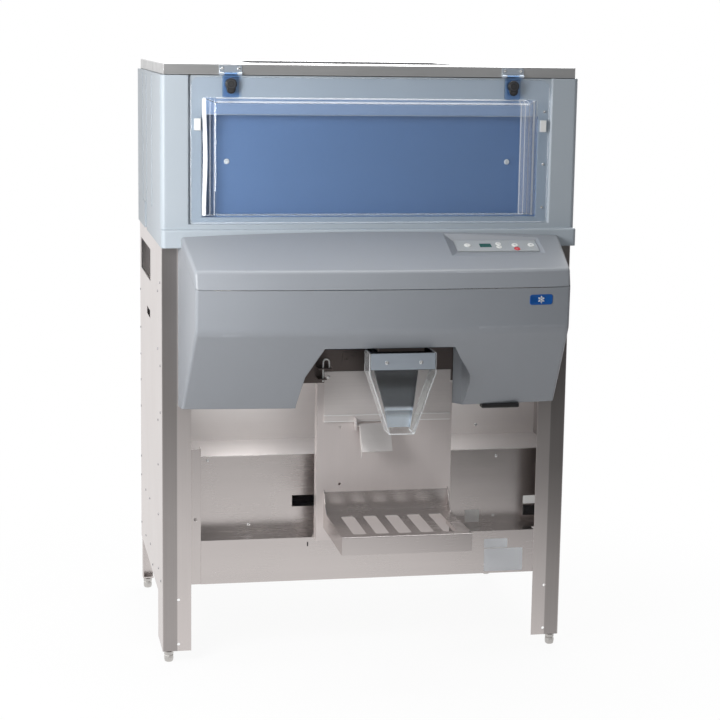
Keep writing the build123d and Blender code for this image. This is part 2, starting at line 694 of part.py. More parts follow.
def hood_beam():
    """Channel across the legs that carries the covers and the dispensing station."""
    half = 545.0
    y0 = BEAM_FRONT
    y1 = CABINET_FRONT
    t = 2.5
    beam = block(-half, half, y0, y1, 856, 955)
    beam -= block(-half, half, y0 + t, y1, 856 + t, 955 - t)
    tab = block(-87, -39, y0 - PLATE_T, y0, 909, 948)
    tab -= rod((-76, y0 - PLATE_T, 930), (0, 1, 0), 5, PLATE_T)
    tab -= block(-62, -48, y0 - PLATE_T, y0, 936, 941)
    return beam + tab


def upper_back_plate():
    """Steel plate hung on the beam, with a folded hem and two lugs for the container paddle."""
    x0 = -140.0
    x1 = 243.0
    front = BEAM_FRONT - PLATE_T
    plate = block(x0, x1, front, BEAM_FRONT, 738, 890)
    plate += block(x0, x1, front - 4, front, 738, 759)
    for x in (-50, 58):
        plate += block(x, x + 4, -486, front, 716, 752)
        plate -= rod((x, -474, 730), (1, 0, 0), 3.1, 4)
    return plate


def lower_back_plate():
    """Steel plate behind the container, folded back along its sides and foot."""
    x0 = -160.0
    x1 = 250.0
    y0 = BEAM_FRONT
    y1 = CABINET_FRONT + 20
    plate = block(x0, x1, y0, y0 + PLATE_T, APRON_TOP, 850)
    for side in (x0, x1 - SHEET):
        plate += block(side, side + SHEET, y0, CABINET_FRONT - 1, APRON_TOP, 850)
    plate += block(x0, x1, y0, y1, APRON_TOP, APRON_TOP + PLATE_T)
    for z in (547, 722):
        plate -= rod((-90, y0, z), (0, 1, 0), 4, PLATE_T)
    for x in (-112, 216):
        plate -= block(x - 11, x + 11, y0, y0 + PLATE_T, 488, 520)
    return plate


def shelf():
    """Folded container shelf: slotted top, skirts, gussets and two hooks."""
    x0 = -138.0
    x1 = 242.0
    back = BEAM_FRONT
    skirt = 414.0
    tray = block(x0, x1, SHELF_FRONT, back, skirt, SHELF_TOP)
    tray = fillet(tray.edges().filter_by(Axis.X).group_by(Axis.Z)[-1].group_by(Axis.Y)[0], 2.5)
    tray -= block(x0 + SHEET, x1 - SHEET, SHELF_FRONT + SHEET, back, skirt, SHELF_TOP - SHEET)
    gusset = [(back, skirt + 10), (back, 530), (-462, 520), (-478, 492), (-505, SHELF_TOP - 1),
              (-505, skirt + 10)]
    for side in (x0, x1 - SHEET):
        tray += prism_x(gusset, side, side + SHEET)
    tray += block(x0, x1, back - SHEET, back, SHELF_TOP - SHEET, 524)
    for i in range(5):
        middle = DISPENSE_X + 2 + (i - 2) * 66
        slot = block(middle - 20, middle + 20, -736, -530, SHELF_TOP - SHEET, SHELF_TOP)
        tray -= fillet(slot.edges().filter_by(Axis.Z), 8)
    for x in (-112, 216):
        tray += block(x - 10, x + 10, back, back + PLATE_T + 3, 508, 518)
        tray += block(x - 10, x + 10, back + PLATE_T + 0.5, back + PLATE_T + 3, 492, 518)
    return tray


def chute():
    """Steel slide below the throat: a collar, a sloping back that narrows downwards and side flanges."""
    x = DISPENSE_X
    t = SHEET
    collar_half = 92.0
    collar = block(x - collar_half, x + collar_half, -669, -556, 931, CHUTE_TOP)
    collar -= block(x - collar_half + t, x + collar_half - t, -669 + t, -556 - t, 931, CHUTE_TOP)
    flange = 14.0
    knee_z = 812.0
    lip_z = 752.0
    head_z = 940.0
    back = [(-556, head_z), (-556, 929), (-610, knee_z), (-616, lip_z)]
    front = [(y - t - flange, z) for y, z in reversed(back)]
    widths = [(33.0, lip_z), (43.0, knee_z), (69.0, 929.0), (69.0, head_z)]
    outline = [(x + w, z) for w, z in widths] + [(x - w, z) for w, z in reversed(widths)]
    channel = prism_x(back + front, x - 100, x + 100) & prism_y(outline, -700, -500)
    hollow_back = [(-556 - t, head_z + 5), (-556 - t, 929), (-610 - t, knee_z), (-616 - t, lip_z), (-616 - t, 740)]
    hollow = prism_x(hollow_back + [(-690, 740), (-690, head_z + 5)], x - 100, x + 100)
    inset = [(w - t, z) for w, z in widths]
    inset = [(inset[0][0], 740)] + inset + [(inset[-1][0], head_z + 5)]
    hollow = hollow & prism_y([(x + w, z) for w, z in inset] + [(x - w, z) for w, z in reversed(inset)],
                              -700, -500)
    slide = collar + (channel - hollow)
    for side in (-1, 1):
        ends = sorted((x + side * 68, x + side * (collar_half - 1)))
        slide += block(ends[0], ends[1], -574, -557, 931, 931 + t)
    for at in (x - 48, x + 52):
        slide -= rod((at, -669, 952), (0, 1, 0), 3.1, t)
    return slide


def chute_shield():
    """Clear tapered guard wrapped round the front and sides of the chute."""
    t = 3.0
    top_half = 98.0
    bottom_half = 37.0
    taper_top = 919.0
    bottom = 741.0
    rear = -600.0

    def volume(inset, over):
        """The guard's outside, or its inside run on past its ends."""
        half = top_half - inset
        low_half = bottom_half - inset
        y0 = SHIELD_FRONT + inset
        x = DISPENSE_X
        head = block(x - half, x + half, y0, rear + over, taper_top, 978 + over)
        tail = frustum(rect_at(bottom, x - low_half, x + low_half, y0, rear + over),
                       rect_at(taper_top, x - half, x + half, y0, rear + over))
        return head + tail

    guard = volume(0, 0) - volume(t, 10)
    for x in (DISPENSE_X - 48, DISPENSE_X + 52):
        guard -= rod((x, SHIELD_FRONT, 952), (0, 1, 0), 3.1, t)
    return guard


def chute_clamp_plate():
    """Bright steel plate that clamps the guard to the chute."""
    t = 2.5
    plate = block(DISPENSE_X - 94, DISPENSE_X + 94, SHIELD_FRONT - t, SHIELD_FRONT, 931, 978)
    for x in (DISPENSE_X - 48, DISPENSE_X + 52):
        plate -= rod((x, SHIELD_FRONT - t, 952), (0, 1, 0), 3.1, t)
    return plate


def chute_screws():
    """Two screws through the clamp plate, the guard and the chute collar."""
    screws = []
    for x in (DISPENSE_X - 48, DISPENSE_X + 52):
        head = rod((x, SHIELD_FRONT - 2.5 - 2.2, 952), (0, 1, 0), 5.5, 2.2)
        screws.append(head + rod((x, SHIELD_FRONT - 2.5, 952), (0, 1, 0), 3, 9))
    return Compound(screws)


def container_paddle():
    """Bent steel paddle that the container pushes back."""
    y = -474.0
    z = 730.0
    t = 2.0
    blade = prism_x([(y - 3, z), (y - 50, 658), (y - 52, 660), (y - 5, z + 1)], -36, 55)
    flange = prism_x([(y - 3, z), (y - 8, z - 8), (y - 52, 660), (y - 50, 640), (y - 20, 690)], -38, -38 + t)
    barrel = rod((-44, y, z), (1, 0, 0), 5, 100)
    trunnion = rod((-52, y, z), (1, 0, 0), 3.05, 116)
    return blade + flange + barrel + trunnion


def hook_bracket():
    """Small steel bracket with two lugs for the hook pin."""
    y0 = BEAM_FRONT - 2.5
    x0 = HOOK_X - 14
    tip = HOOK_Y - 9
    bracket = block(x0, -142, y0, BEAM_FRONT, 870, 911)
    bracket += block(x0, -142, tip, y0, 875, 878)
    bracket += block(x0, HOOK_X + 24, tip, y0, HOOK_REST - 3, HOOK_REST)
    return bracket - rod((HOOK_X, HOOK_Y, 865), (0, 0, 1), HOOK_WIRE_R + 0.05, 50)


def hook_pin():
    """Bent wire pin with a hooked head that lifts out of its bracket."""
    bend = 9.0
    top = 926.0
    foot = 868.0
    leg = rod((HOOK_X, HOOK_Y, foot), (0, 0, 1), HOOK_WIRE_R, top - foot)
    section = Plane(origin=(HOOK_X, HOOK_Y, top), x_dir=(1, 0, 0), z_dir=(0, 0, 1)) * Circle(HOOK_WIRE_R)
    arch = revolve(section, Axis((HOOK_X + bend, HOOK_Y, top), (0, 1, 0)), 180)
    short = rod((HOOK_X + 2 * bend, HOOK_Y, HOOK_REST), (0, 0, 1), HOOK_WIRE_R, top - HOOK_REST)
    return leg + arch + short


def auger():
    """Dispensing auger: a shaft with one helical flight."""
    shaft = rod((DISPENSE_X, -632, TROUGH_Z), (0, 1, 0), 12, 632 + 245)
    pitch = 110.0
    turns = 7.2
    core = 11.0
    flight_t = 4.0
    helix = Helix(pitch=pitch, height=pitch * turns, radius=core)
    section = Plane(origin=helix @ 0, x_dir=(1, 0, 0), z_dir=(helix % 0)) * Pos(
        (AUGER_R - core) / 2, 0) * Rectangle(AUGER_R - core, flight_t)
    flight = sweep(section, path=helix, is_frenet=True)
    flight = Pos(DISPENSE_X, -620, TROUGH_Z) * Rot(-90, 0, 0) * flight
    return shaft + flight


def agitator():
    """Agitator shaft with crossed bars that keep the ice moving."""
    shaft = rod((DISPENSE_X, -430, AGITATOR_Z), (0, 1, 0), 12, 650)
    bar = 7.0
    for i in range(6):
        y = -340 + i * 100
        turn = math.radians(30 + i * 60)
        way = (math.cos(turn), 0, math.sin(turn))
        start = (DISPENSE_X - way[0] * AGITATOR_R, y, AGITATOR_Z - way[2] * AGITATOR_R)
        shaft += rod(start, way, bar, 2 * AGITATOR_R)
    return shaft


def agitator_motor():
    """Gearmotor of the agitator on the front wall of the hopper."""
    wall = STORE_FRONT - LINER_WALL
    head = block(DISPENSE_X - 55, DISPENSE_X + 55, wall - 50, wall, 1150, 1256)
    head -= rod((DISPENSE_X, wall - 30, AGITATOR_Z), (0, 1, 0), 12.06, 30)
    return head + rod((DISPENSE_X, wall - 150, 1188), (0, 1, 0), 36, 101)


def auger_motor():
    """Gearmotor of the auger behind the trough, on a foot."""
    head = block(DISPENSE_X - 45, DISPENSE_X + 45, 226, 290, 1010, 1090)
    head = head & prism_x([(200, 900), (400, 900), (400, 1230), (226, 1082)], -100, 200)
    head -= rod((DISPENSE_X, 226, TROUGH_Z), (0, 1, 0), 12.06, 30)
    motor = rod((DISPENSE_X, 289, TROUGH_Z - 2), (0, 1, 0), 36, 100)
    mount = block(DISPENSE_X - 45, DISPENSE_X + 45, 205, 226, 1010, 1030)
    return head + motor + mount


def switch_bezel():
    """Frame and body of the mains switch in the lower front panel."""
    bezel = block(521, 565, INNER_FRONT - 3, INNER_FRONT, 396, 426)
    body = block(525, 561, INNER_FRONT, INNER_FRONT + 24, 400, 422)
    well = block(528, 558, INNER_FRONT - 3, INNER_FRONT + 16, 402, 420)
    return bezel + body - well


def mains_rocker():
    """Rocker of the mains switch, modelled in its off position."""
    pivot = (543.0, INNER_FRONT + 4)
    half = 14.2
    outline = [(-half, 5), (-half, -4), (0, -7), (half, -4), (half, 5)]
    rocker = prism_z(outline, 402.5, 419.5)
    rocker = Rot(0, 0, 8) * rocker
    return Pos(pivot[0], pivot[1], 0) * rocker


def main():
    """Builds every piece and writes its file."""
    os.makedirs("parts", exist_ok=True)
    builders = [bin_shell, bin_liner, bin_insulation, top_lid, bracket_screws, door_panel, door_studs,
                door_screws, door_bumpers, ice_shield, shield_rail, shield_screws, side_panel_left, rear_leg_left,
                panel_rivets, post, apron, base_pan, lower_front_panel, deck, splash_panel, rear_panel,
                levelling_feet, top_cover, front_cover, cover_grip, keypad_plate, display_window,
                control_board, hood_beam, upper_back_plate, lower_back_plate, shelf, chute, chute_shield,
                chute_clamp_plate, chute_screws, container_paddle, hook_bracket, hook_pin, auger, agitator,
                agitator_motor, auger_motor, switch_bezel, mains_rocker]
    for build in builders:
        save(build(), build.__name__)
    for build in (side_panel_left, rear_leg_left):
        save(mirrored(build()), build.__name__.replace("_left", "_right"))
    for side, x in (("left", -HINGE_X), ("right", HINGE_X)):
        save(hinge_bracket(x), f"hinge_bracket_{side}")
        save(door_strap(x), f"door_strap_{side}")
        save(door_knob(x), f"door_knob_{side}")
    for name in KEYS:
        save(key_cap(name), f"{name}_key")


main()
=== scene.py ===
import math

import bpy
import numpy as np
from mathutils import Matrix, Vector


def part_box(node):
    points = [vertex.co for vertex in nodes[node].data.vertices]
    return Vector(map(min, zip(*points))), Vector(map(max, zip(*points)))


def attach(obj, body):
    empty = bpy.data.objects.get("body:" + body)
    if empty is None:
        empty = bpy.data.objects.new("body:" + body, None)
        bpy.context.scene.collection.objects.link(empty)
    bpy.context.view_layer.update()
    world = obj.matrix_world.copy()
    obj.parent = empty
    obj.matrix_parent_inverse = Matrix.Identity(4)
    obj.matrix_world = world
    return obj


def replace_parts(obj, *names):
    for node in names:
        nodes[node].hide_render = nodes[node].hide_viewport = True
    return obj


# Finishes, small fastenings and formed details for the ice storage bin, with a camera, soft light and a
# floor. Metres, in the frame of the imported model: X to the right, Y to the back, Z up. Profiles of turned
# pieces and flat plates are in millimetres.

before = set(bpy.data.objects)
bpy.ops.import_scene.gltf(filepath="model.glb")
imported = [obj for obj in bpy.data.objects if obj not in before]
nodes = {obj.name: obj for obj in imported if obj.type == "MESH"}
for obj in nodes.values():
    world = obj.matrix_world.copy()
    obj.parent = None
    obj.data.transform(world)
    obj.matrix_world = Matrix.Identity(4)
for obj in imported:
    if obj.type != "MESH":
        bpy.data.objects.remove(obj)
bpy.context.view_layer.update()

MM = 0.001
FRONT = (0.0, -1.0, 0.0)

# Camera, from a fit to the edges of the lid and the legs
CAMERA_AT = (-1.0950, -5.7678, 1.8798)
CAMERA_YAW = 0.19125
CAMERA_PITCH = 0.1697
CAMERA_ROLL = 0.01465
CAMERA_LENS = 95.61
SENSOR = 36.0

# Added to Y where a place is measured from the middle of the bin, because the model's origin lies at the
# middle of its whole depth
SHIFT = 0.1685

# Brushed steel: streaks per metre across the grain, and the share of that along it
GRAIN_SCALE = 420.0
GRAIN_SHARE = 0.012

# Refractive index of the clear sheets
SHEET_IOR = 1.46

# Direction that the sloped keypad faces
KEYPAD_NORMAL = (0.0, -0.371391, 0.928477)

# How far the face of the door's window stands in front of its flange
DOOR_RISE = 30 * MM


class Term:
    """A shader socket. Arithmetic on it adds Math nodes to its material."""

    def __init__(self, finish, socket):
        self.finish = finish
        self.socket = socket

    def __add__(self, other):
        return self.finish.maths("ADD", self, other)

    def __radd__(self, other):
        return self.finish.maths("ADD", other, self)

    def __sub__(self, other):
        return self.finish.maths("SUBTRACT", self, other)

    def __rsub__(self, other):
        return self.finish.maths("SUBTRACT", other, self)

    def __mul__(self, other):
        return self.finish.maths("MULTIPLY", self, other)

    def __rmul__(self, other):
        return self.finish.maths("MULTIPLY", other, self)


class Finish:
    """A material or world whose nodes are added by type, settings and socket values."""

    def __init__(self, name, owner=None):
        self.owner = owner or bpy.data.materials.new(name)
        self.owner.use_nodes = True
        self.tree = self.owner.node_tree
        self.tree.nodes.clear()

    def node(self, kind, settings=None, sockets=None, output=0):
        """Adds a node, sets it up, fills or links its sockets and returns one of its outputs."""
        node = self.tree.nodes.new(kind)
        for name, value in (settings or {}).items():
            setattr(node, name, value)
        for name, value in (sockets or {}).items():
            if isinstance(value, Term):
                self.tree.links.new(value.socket, node.inputs[name])
            else:
                node.inputs[name].default_value = value
        return Term(self, node.outputs[output]) if node.outputs else None

    def maths(self, operation, first, second=0.0):
        """One Math node, whose second input is unused where the operation takes one number."""
        return self.node("ShaderNodeMath", {"operation": operation}, {0: first, 1: second})

    def distance(self, value, centre=0.0):
        """How far a value lies from a centre, to either side."""
        return self.maths("ABSOLUTE", value - centre if centre else value)

    def place(self, stretch=(1.0, 1.0, 1.0)):
        """Object coordinates in metres, stretched along each axis."""
        at = self.node("ShaderNodeTexCoord", output="Object")
        return self.node("ShaderNodeVectorMath", {"operation": "MULTIPLY"}, {0: at, 1: stretch})

    def along(self, axis, vector=None):
        """One coordinate of a vector, which is the object coordinates if none is given."""
        return self.node("ShaderNodeSeparateXYZ", sockets={0: vector or self.place()}, output=axis)

    def noise(self, scale, detail=2.0, grain=None, share=GRAIN_SHARE):
        """Soft noise from 0 to 1. Along the axis of a grain its scale is only a share of the scale given."""
        stretch = tuple(share if axis == grain else 1.0 for axis in "XYZ")
        return self.node("ShaderNodeTexNoise", sockets={
            "Vector": self.place(stretch), "Scale": scale, "Detail": detail})

    def streaks(self, grain):
        """Fine streaks of brushed steel along one axis."""
        return self.noise(GRAIN_SCALE, 3.0, grain)

    def ramp(self, value, low, high, start=0.0, end=1.0):
        """Runs smoothly from a start to an end while the value goes from low to high."""
        return self.node("ShaderNodeMapRange", {"interpolation_type": "SMOOTHSTEP"},
                         {0: value, 1: low, 2: high, 3: start, 4: end})

    def mix(self, factor, first, second):
        """Blends two colours. They are inputs 6 and 7 of a Mix node, and the result is its output 2."""
        return self.node("ShaderNodeMix", {"data_type": "RGBA"}, {0: factor, 6: first, 7: second}, 2)

    def either(self, factor, first, second):
        """Blends two shaders."""
        return self.node("ShaderNodeMixShader", sockets={0: factor, 1: first, 2: second})

    def ray(self, kind):
        """What the Light Path node says of the present ray."""
        return self.node("ShaderNodeLightPath", output=kind)

    def light(self, kind, colour, strength):
        """A shader that only shines: Emission on a surface, Background in a world."""
        return self.node(kind, sockets={"Color": colour, "Strength": strength})

    def rounded(self, radius, relief=None, strength=0.1, depth=0.05 * MM):
        """Normals that round sharp edges by a radius, with a fine relief on top."""
        edges = self.node("ShaderNodeBevel", {"samples": 4}, {"Radius": radius})
        if relief is None:
            return edges
        return self.node("ShaderNodeBump", sockets={
            "Strength": strength, "Distance": depth, "Height": relief, "Normal": edges})

    def surface(self, colour, roughness, normal, metallic=0.0):
        """The Principled shader and the output."""
        shader = self.node("ShaderNodeBsdfPrincipled", sockets={
            "Base Color": colour, "Roughness": roughness, "Normal": normal, "Metallic": metallic})
        self.node("ShaderNodeOutputMaterial", sockets={"Surface": shader})
        return self.owner


def tone(red, green, blue):
    """A display colour of 0 to 255 as a linear shader colour."""
    levels = [c / 255 for c in (red, green, blue)]
    linear = [c / 12.92 if c <= 0.04045 else ((c + 0.055) / 1.055) ** 2.4 for c in levels]
    return (*linear, 1.0)


def darker(colour, share):
    """A share of a linear colour."""
    return (*(c * share for c in colour[:3]), 1.0)


def moulded(name, colour, shade, roughness, edge):
    """Moulded plastic: a fine leathery grain, slow changes of colour and slightly rubbed gloss."""
    f = Finish(name)
    cloud = f.noise(3.0, 3.0)
    grain = f.noise(900.0, 1.0)
    speckle = f.noise(260.0, 2.0)
    colour = f.mix(cloud * 0.5 + speckle * 0.25, shade, colour)
    return f.surface(colour, roughness - 0.06 + cloud * 0.1 + grain * 0.04,
                     f.rounded(edge * MM, grain + speckle, 0.12, 0.15 * MM))


def brushed(name, colour, roughness, grain, edge=0.8, smudge=0.35, metal=1.0):
    """Brushed stainless sheet: streaks along one axis, hand smudges and slow changes of tint."""
    f = Finish(name)
    streak = f.streaks(grain)
    band = f.noise(24.0, 2.0, grain)
    smear = f.noise(5.0, 4.0)
    tint = f.mix(0.08 + streak * 0.2 + band * 0.3 + smear * smudge, darker(colour, 0.80), colour)
    return f.surface(tint, roughness - 0.06 + streak * 0.05 + smear * 0.12,
                     f.rounded(edge * MM, streak, 0.04), metal)


def bright(name, colour, roughness, metal=1.0):
    """Bright turned or plated metal with fine wear."""
    f = Finish(name)
    wear = f.noise(160.0, 3.0)
    return f.surface(f.mix(wear, darker(colour, 0.82), colour), roughness + wear * 0.1,
                     f.rounded(0.3 * MM), metal)


def satin(name, colour, roughness, edge=0.6):
    """Small plastic pieces: even colour with faint flecks, softly worn edges."""
    f = Finish(name)
    fleck = f.noise(500.0, 2.0)
    return f.surface(f.mix(fleck, darker(colour, 0.85), colour), roughness + fleck * 0.08,
                     f.rounded(edge * MM, fleck, 0.08))


def clear_sheet(name, colour, roughness, highlight_mask=None):
    """Clear or tinted plastic sheet with faint rub marks, and white painted highlights where a mask is
    given. Shadow rays and light scattered behind it pass it with its tint alone."""
    f = Finish(name)
    rub = f.noise(14.0, 4.0, "Z", 0.3)
    shader = f.node("ShaderNodeBsdfPrincipled", sockets={
        "Base Color": colour, "Roughness": roughness + rub * 0.03, "IOR": SHEET_IOR,
        "Transmission Weight": 1.0})
    if highlight_mask is not None:
        # White shader for the painted highlights, laid over the sheet where the mask is high.
        white = f.node("ShaderNodeBsdfPrincipled", sockets={
            "Base Color": (0.93, 0.95, 0.98, 1.0), "Roughness": 0.25 + rub * 0.1})
        shader = f.either(highlight_mask(f), shader, white)
    passing = f.node("ShaderNodeBsdfTransparent", sockets={"Color": colour})
    shader = f.either(f.ray("Is Shadow Ray"), shader, passing)
    shader = f.either(f.ray("Is Diffuse Ray"), shader, passing)
    f.node("ShaderNodeOutputMaterial", sockets={"Surface": shader})
    return f.owner


# Upright lines of painted highlight on the side walls of the door's window: place along X, half width and
# strength
PAINTED_WALL_HIGHLIGHTS = [(-0.4780, 0.0012, 0.16), (-0.4665, 0.0011, 0.26), (0.4390, 0.0020, 0.30),
              (0.4520, 0.0012, 0.30), (0.4645, 0.0014, 0.24), (0.4830, 0.0040, 0.45),
              (0.4950, 0.0012, 0.30)]


def painted_door_highlights(f):
    """Painted highlights of the door: white lines on the four sloped walls of the window, the leftmost one
    slightly bowed, a faint painted sheen on the right wall, and white along the cut edges of the flange."""
    low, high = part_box("door_panel")
    x = f.along("X")
    across = f.distance(x)
    up = f.along("Z")

    def line(value, centre, half, strength):
        """A soft-edged line of painted highlight where a value is near a centre."""
        return f.ramp(f.distance(value, centre), half * 0.6, half * 1.2, strength, 0.0)

    bow = f.ramp(up, 1.36, 1.52) * f.ramp(up, 1.52, 1.68, 1.0, 0.0) * 0.004
    # Painted highlights on the sloped walls of the window, and a faint painted sheen on the right wall.
    walls = line(x - bow, -0.4945, 0.0055, 0.7) + f.ramp(x, 0.437, 0.441) * f.ramp(x, 0.490, 0.497, 0.12, 0.0)
    for centre, half, strength in PAINTED_WALL_HIGHLIGHTS:
        walls = walls + line(x, centre, half, strength)
    window = f.ramp(up, 1.348, 1.353) * f.ramp(up, 1.684, 1.690, 1.0, 0.0)
    # Painted highlights along the header and the sill of the window, and along the flange's cut sides and
    # foot.
    level = line(up, 1.6880, 0.0022, 0.55) + line(up, 1.6780, 0.0018, 0.45) + line(up, 1.3520, 0.0020, 0.55)
    middle = f.ramp(across, 0.455, 0.465, 1.0, 0.0)
    rim = f.ramp(across, high.x - 3 * MM, high.x - 1 * MM, 0.0, 0.25)
    foot = f.ramp(up, low.z + 1 * MM, low.z + 3 * MM, 0.35, 0.0)
    return walls * window + level * middle + rim + foot


def painted_guard_highlights(f):
    """Painted highlights of the chute's guard: white along its lower edge, its tapering corners and its rear
    edges. The corners lie at a half width that grows from the foot with height, up to the half width of the
    top."""
    foot_z, foot_half, top_half, flare = 0.741, 0.037, 0.098, 0.061 / 0.178
    front_y, rear_y = -0.4995, -0.4335
    up = f.along("Z")
    depth = f.along("Y")
    # Painted highlights: white along the lower edge, the tapering corners and the rear edges.
    taper = f.maths("MINIMUM", (up - foot_z) * flare + foot_half, top_half)
    off = f.distance(f.distance(f.along("X"), 0.050) - taper)
    corner = f.ramp(off, 0.8 * MM, 2.6 * MM, 0.42, 0.0)
    corner = corner * f.ramp(depth, front_y - 1 * MM, front_y + 1 * MM, 1.0, 0.25)
    rear = f.ramp(depth, rear_y - 1 * MM, rear_y + 1 * MM, 0.0, 0.4)
    return f.ramp(up, foot_z + 1 * MM, foot_z + 4 * MM, 0.5, 0.02) + corner + rear


def slide_steel_painted_shade(name, colour, roughness):
    """Steel of the chute: bright collar and lip, and a slide with painted shade, dark above its knee and half
    as dark below, which leaves a painted highlight line at the knee.
    """
    knee = 0.802
    f = Finish(name)
    up = f.along("Z")
    streak = f.streaks("X")
    # Painted shade: dark above the knee and half as dark below it, with a painted highlight line left at the
    # knee.
    above = f.ramp(up, knee + 2 * MM, knee + 13 * MM)
    below = f.ramp(up, knee - 26 * MM, knee - 4 * MM) * f.ramp(up, knee - 3 * MM, knee, 1.0, 0.0)
    tint = f.mix(above * 0.94 + below * 0.5 + streak * 0.06, colour, darker(colour, 0.08))
    return f.surface(tint, roughness + streak * 0.06, f.rounded(0.6 * MM, streak), 1.0)


def hemmed_steel(name, colour, roughness):
    """Steel of the upper back plate: brushed level, with painted highlights as bright lines along the folded
    hem.
    """
    f = Finish(name)
    up = f.along("Z")
    streak = f.streaks("X")
    smear = f.noise(6.0, 4.0)
    # Painted highlights: near-white lines along the two folds of the hem.
    lower, upper = (f.ramp(f.distance(up, fold), 0.6 * MM, 2 * MM, 0.8, 0.0) for fold in (0.7395, 0.7580))
    tint = f.mix(streak * 0.35 + smear * 0.5, colour, darker(colour, 0.72))
    tint = f.mix(lower + upper, tint, (0.95, 0.95, 0.95, 1.0))
    return f.surface(tint, roughness + streak * 0.06, f.rounded(0.6 * MM, streak), 0.65)


def band_steel(name, colour, roughness):
    """Lid steel: brushed level, with a band darkened to the left and in mottled patches as painted shade and
    reflection, between folded edges left bright as painted highlights, and a dark line painted along its
    lower edge."""
    f = Finish(name)
    low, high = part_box("top_lid")
    up = f.along("Z")
    streak = f.streaks("X")
    patch = f.noise(16.0, 3.0, "X", 0.25)
    # Painted shade and reflection: the band inside the folded edges is darkened to the left and in mottled
    # patches; the edges stay bright as painted highlights.
    shaded_band = f.ramp(up, low.z + 1.5 * MM, low.z + 4.5 * MM)
    shaded_band = shaded_band * f.ramp(up, high.z - 4 * MM, high.z - 1.5 * MM, 1.0, 0.0)
    shaded = f.ramp(f.along("X"), -0.55, 0.2, 0.25, 0.0)
    # A dark line painted along the lowest 2 mm of the lid.
    lower_dark_line = f.ramp(up, low.z + 1.6 * MM, low.z + 2.4 * MM, 1.0, 0.0)
    tint = f.mix(shaded_band * (shaded + patch * 0.7) + streak * 0.12, colour, darker(colour, 0.5))
    tint = f.mix(lower_dark_line, tint, (0.02, 0.02, 0.02, 1.0))
    return f.surface(tint, roughness + streak * 0.06 + patch * 0.1, f.rounded(1.0 * MM, streak), 0.7)


def leg_steel(name, colour, roughness):
    """Leg steel: brushed upright, with an outer strip at the front painted darker and the inner strip left
    bright, as a painted reflection.
    """
    f = Finish(name)
    across = f.distance(f.along("X"))
    streak = f.streaks("Z")
    smear = f.noise(5.0, 4.0)
    # Painted reflection: the outer strip of the front is darkened, the inner strip stays bright.
    outer = f.ramp(across, 0.5705, 0.5735) * f.ramp(across, 0.6135, 0.6142, 0.8, 0.0)
    tint = f.mix(outer + streak * 0.12 + smear * 0.12, colour, darker(colour, 0.52))
    return f.surface(tint, roughness + streak * 0.07 + smear * 0.1, f.rounded(0.8 * MM, streak), 1.0)


def make_finishes():
    """Every finish by the name used below."""
    steel = tone(214, 208, 206)
    return {
        "shell": moulded("shell_moulding", tone(176, 184, 191), tone(160, 169, 177), 0.42, 4.0),
        "hood": moulded("hood_moulding", tone(148, 152, 158), tone(136, 140, 146), 0.40, 2.0),
        "liner": moulded("liner_moulding", tone(96, 132, 178), tone(82, 116, 164), 0.45, 4.0),
        "foam": satin("insulating_foam", tone(236, 228, 200), 0.8, 2.0),
        "steel_x": brushed("brushed_steel_level", steel, 0.24, "X"),
        "steel_z": brushed("brushed_steel_upright", steel, 0.24, "Z"),
        "inner_x": brushed("lit_steel_level", tone(226, 221, 219), 0.32, "X", metal=0.55),
        "inner_z": brushed("lit_steel_upright", tone(222, 214, 212), 0.32, "Z", metal=0.65),
        "slide": slide_steel_painted_shade("slide_steel_painted_shade", tone(206, 214, 224), 0.2),
        "hemmed": hemmed_steel("hemmed_steel", tone(226, 220, 218), 0.3),
        "shaded": brushed("shaded_steel", tone(112, 104, 101), 0.34, "X"),
        "leg": leg_steel("leg_steel", steel, 0.22),
        "lid": band_steel("lid_steel", tone(214, 214, 214), 0.24),
        "silver_x": brushed("bright_sheet", tone(218, 229, 241), 0.22, "X", 0.6, 0.2, 0.7),
        "screw": bright("plated_screws", tone(225, 226, 226), 0.2),
        "wire": bright("bright_wire", tone(240, 240, 238), 0.3, 0.4),
        "rivet": bright("rivet_metal", tone(150, 150, 154), 0.35),
        "foot": bright("foot_metal", tone(205, 203, 200), 0.35),
        "clear": clear_sheet("clear_sheet", (0.93, 0.955, 0.985, 1.0), 0.02, painted_door_highlights),
        "guard": clear_sheet("clear_guard", (0.95, 0.96, 0.955, 1.0), 0.03, painted_guard_highlights),
        "tint": clear_sheet("tinted_strap", (0.55, 0.70, 0.88, 1.0), 0.05),
        "shield": satin("tinted_ice_shield", tone(111, 138, 177), 0.35, 1.0),
        # Painted shade, tinted blue, for the strip over the opening.
        "header": satin("opening_header_shade", tone(135, 156, 187), 0.4, 1.0),
        "black": satin("black_plastic", tone(28, 28, 30), 0.35),
        # Lighter grey for the knobs' raised rings and bars: painted highlights.
        "ring_highlight_grey": satin("ring_highlight_grey", tone(96, 96, 98), 0.18),
        "white": satin("white_plastic", tone(236, 236, 234), 0.35),
        "keypad": satin("keypad_film", tone(172, 176, 178), 0.4),
        "display": satin("display_window", tone(40, 92, 84), 0.12),
        "key": satin("key_white", tone(238, 238, 234), 0.3),
        "stop": satin("key_red", tone(214, 52, 62), 0.3),
        "mark": satin("key_mark", tone(120, 124, 128), 0.4),
        "board": satin("circuit_board", tone(30, 90, 52), 0.4),
        "motor": satin("motor_paint", tone(58, 60, 64), 0.4),
        "badge": satin("badge_blue", tone(10, 84, 160), 0.25),
        "label": satin("blank_label", tone(246, 246, 244), 0.45),
        "plate": satin("bare_plate", tone(232, 234, 238), 0.35),
    }


